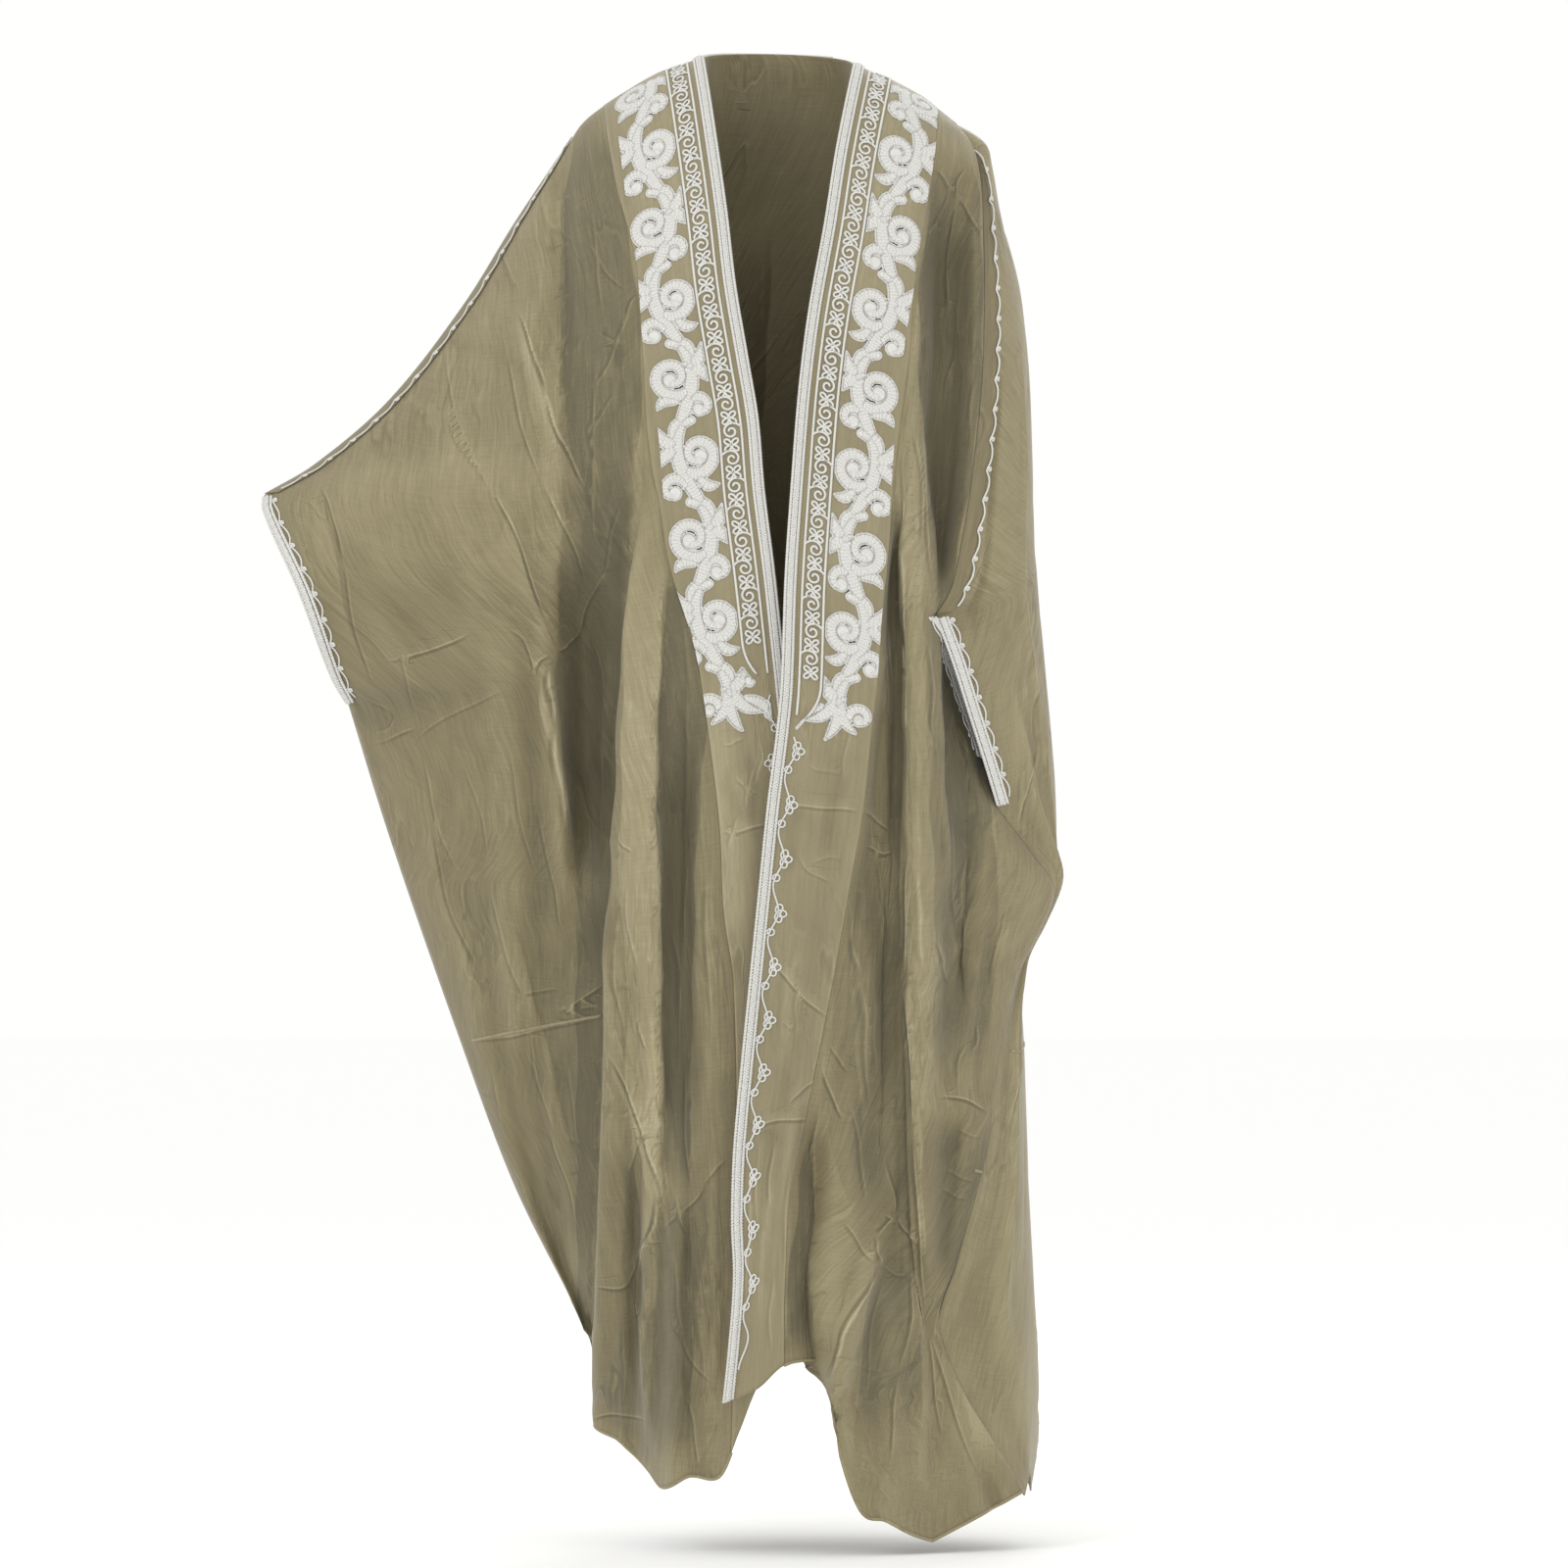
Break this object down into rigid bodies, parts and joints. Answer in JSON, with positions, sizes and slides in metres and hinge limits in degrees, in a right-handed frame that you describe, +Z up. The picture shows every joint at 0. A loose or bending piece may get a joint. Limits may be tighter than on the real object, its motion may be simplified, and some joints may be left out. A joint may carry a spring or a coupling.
{
  "type": "bisht",
  "caption": "Long open-fronted cloak of sheer cloth, worn and hollow, with white corded edges and scrolls, one arm held out.",
  "frame": {"origin": "middle of the neck opening at the height of the shoulder seams, where the wearer's shoulders carry the cloak", "axes": "+Z up, front faces -Y, +X towards the wearer's left arm"},
  "size_m": [0.8132, 0.3277, 1.5235],
  "materials": {
    "cloth": "sheer olive voile, fine plain weave, soft sheen",
    "band": "the same voile laid double, lighter and closer",
    "cord": "white couched cord and chain stitch, matt with a slight sheen",
    "strip": "seam strip of the same cloth between two rows of cord"
  },
  "bodies": {
    "root": {"front_right": "cloth", "front_band_right": "band", "edge_braid_right": "cord", "lattice_band_right": "cord", "scroll_applique_right": "cord", "front_left": "cloth", "front_band_left": "band", "edge_braid_left": "cord", "lattice_band_left": "cord", "scroll_applique_left": "cord", "back": "cloth", "neck_band_back": "band", "neck_braid_back": "cord", "cuff_braid_right_front": "cord", "cuff_braid_right_back": "cord", "cuff_braid_left_front": "cord", "cuff_braid_left_back": "cord", "arm_strip_right": "strip", "arm_strip_left": "strip"}
  },
  "joints": []
}
